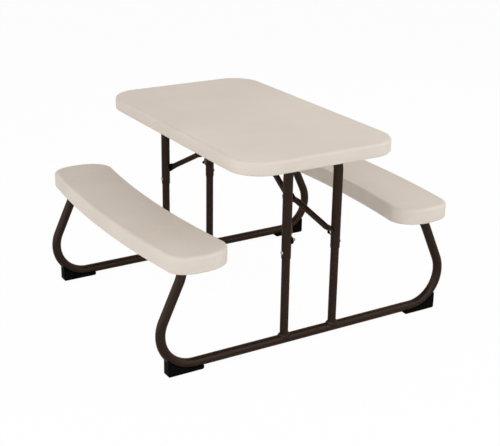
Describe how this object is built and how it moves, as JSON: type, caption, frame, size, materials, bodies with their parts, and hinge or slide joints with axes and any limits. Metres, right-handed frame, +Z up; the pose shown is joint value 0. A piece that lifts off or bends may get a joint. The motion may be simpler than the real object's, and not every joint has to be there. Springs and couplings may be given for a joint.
{
  "type": "folding picnic table",
  "caption": "Low picnic table: a moulded top and two bowed benches on bent steel tube frames; the top lifts off its leg stubs and its braced leg hoops fold flat under it.",
  "frame": {"origin": "middle of the floor area, on the floor", "axes": "+X across the benches, +Y along the tabletop, +Z up"},
  "size_m": [0.9008, 0.804, 0.537],
  "materials": {
    "moulded_plastic": "satin moulded almond plastic with a fine texture",
    "frame_paint": "semi-gloss dark bronze powder coat",
    "foot_plastic": "satin black plastic",
    "zinc_steel": "bright zinc plate"
  },
  "bodies": {
    "base": {"left_bench": "moulded_plastic", "right_bench": "moulded_plastic", "near_floor_tube": "frame_paint", "near_left_leg_stub": "frame_paint", "near_left_foot": "foot_plastic", "near_left_bench_screw_1": "zinc_steel", "near_left_bench_screw_2": "zinc_steel", "near_right_leg_stub": "frame_paint", "near_right_foot": "foot_plastic", "near_right_bench_screw_1": "zinc_steel", "near_right_bench_screw_2": "zinc_steel", "far_floor_tube": "frame_paint", "far_left_leg_stub": "frame_paint", "far_left_foot": "foot_plastic", "far_left_bench_screw_1": "zinc_steel", "far_left_bench_screw_2": "zinc_steel", "far_right_leg_stub": "frame_paint", "far_right_foot": "foot_plastic", "far_right_bench_screw_1": "zinc_steel", "far_right_bench_screw_2": "zinc_steel"},
    "top": {"tabletop": "moulded_plastic", "center_bracket": "frame_paint", "left_bracket_screw": "zinc_steel", "right_bracket_screw": "zinc_steel", "near_stem_pin": "zinc_steel", "near_left_pivot_strap": "frame_paint", "near_left_strap_screw_outer": "zinc_steel", "near_left_strap_screw_inner": "zinc_steel", "near_right_pivot_strap": "frame_paint", "near_right_strap_screw_outer": "zinc_steel", "near_right_strap_screw_inner": "zinc_steel", "far_stem_pin": "zinc_steel", "far_left_pivot_strap": "frame_paint", "far_left_strap_screw_outer": "zinc_steel", "far_left_strap_screw_inner": "zinc_steel", "far_right_pivot_strap": "frame_paint", "far_right_strap_screw_outer": "zinc_steel", "far_right_strap_screw_inner": "zinc_steel"},
    "near_legs": {"near_leg_hoop": "frame_paint", "near_left_sleeve_bolt": "zinc_steel", "near_left_arm_bolt": "zinc_steel", "near_right_sleeve_bolt": "zinc_steel", "near_right_arm_bolt": "zinc_steel"},
    "far_legs": {"far_leg_hoop": "frame_paint", "far_left_sleeve_bolt": "zinc_steel", "far_left_arm_bolt": "zinc_steel", "far_right_sleeve_bolt": "zinc_steel", "far_right_arm_bolt": "zinc_steel"},
    "near_stem": {"near_brace_stem": "frame_paint", "near_knee_pin": "zinc_steel"},
    "far_stem": {"far_brace_stem": "frame_paint", "far_knee_pin": "zinc_steel"},
    "near_arms": {"near_left_brace_arm": "frame_paint", "near_left_knee_rivet": "zinc_steel", "near_right_brace_arm": "frame_paint", "near_right_knee_rivet": "zinc_steel"},
    "far_arms": {"far_left_brace_arm": "frame_paint", "far_left_knee_rivet": "zinc_steel", "far_right_brace_arm": "frame_paint", "far_right_knee_rivet": "zinc_steel"}
  },
  "joints": [
    {"name": "top_lift", "type": "slide", "parent": "base", "child": "top", "axis": [0, 0, 1], "range_m": [0, 0.3]},
    {"name": "near_leg_fold", "type": "hinge", "parent": "top", "child": "near_legs", "pos_m": [0, -0.3385, 0.502], "axis": [1, 0, 0], "range_deg": [0, 90]},
    {"name": "near_stem_swing", "type": "hinge", "parent": "top", "child": "near_stem", "pos_m": [0, -0.014, 0.502], "axis": [1, 0, 0], "range_deg": [-32.54, 0]},
    {"name": "near_arm_swing", "type": "hinge", "parent": "near_legs", "child": "near_arms", "pos_m": [0, -0.3385, 0.295], "axis": [1, 0, 0], "range_deg": [0, 57.48]},
    {"name": "far_leg_fold", "type": "hinge", "parent": "top", "child": "far_legs", "pos_m": [0, 0.3385, 0.502], "axis": [-1, 0, 0], "range_deg": [0, 90]},
    {"name": "far_stem_swing", "type": "hinge", "parent": "top", "child": "far_stem", "pos_m": [0, 0.014, 0.502], "axis": [-1, 0, 0], "range_deg": [-32.54, 0]},
    {"name": "far_arm_swing", "type": "hinge", "parent": "far_legs", "child": "far_arms", "pos_m": [0, 0.3385, 0.295], "axis": [-1, 0, 0], "range_deg": [0, 57.48]}
  ],
  "couplings": [
    {"joint": "near_stem_swing", "follows": "near_leg_fold", "ratio": -0.36149},
    {"joint": "near_arm_swing", "follows": "near_leg_fold", "ratio": 0.63851},
    {"joint": "far_stem_swing", "follows": "far_leg_fold", "ratio": -0.36149},
    {"joint": "far_arm_swing", "follows": "far_leg_fold", "ratio": 0.63851}
  ]
}
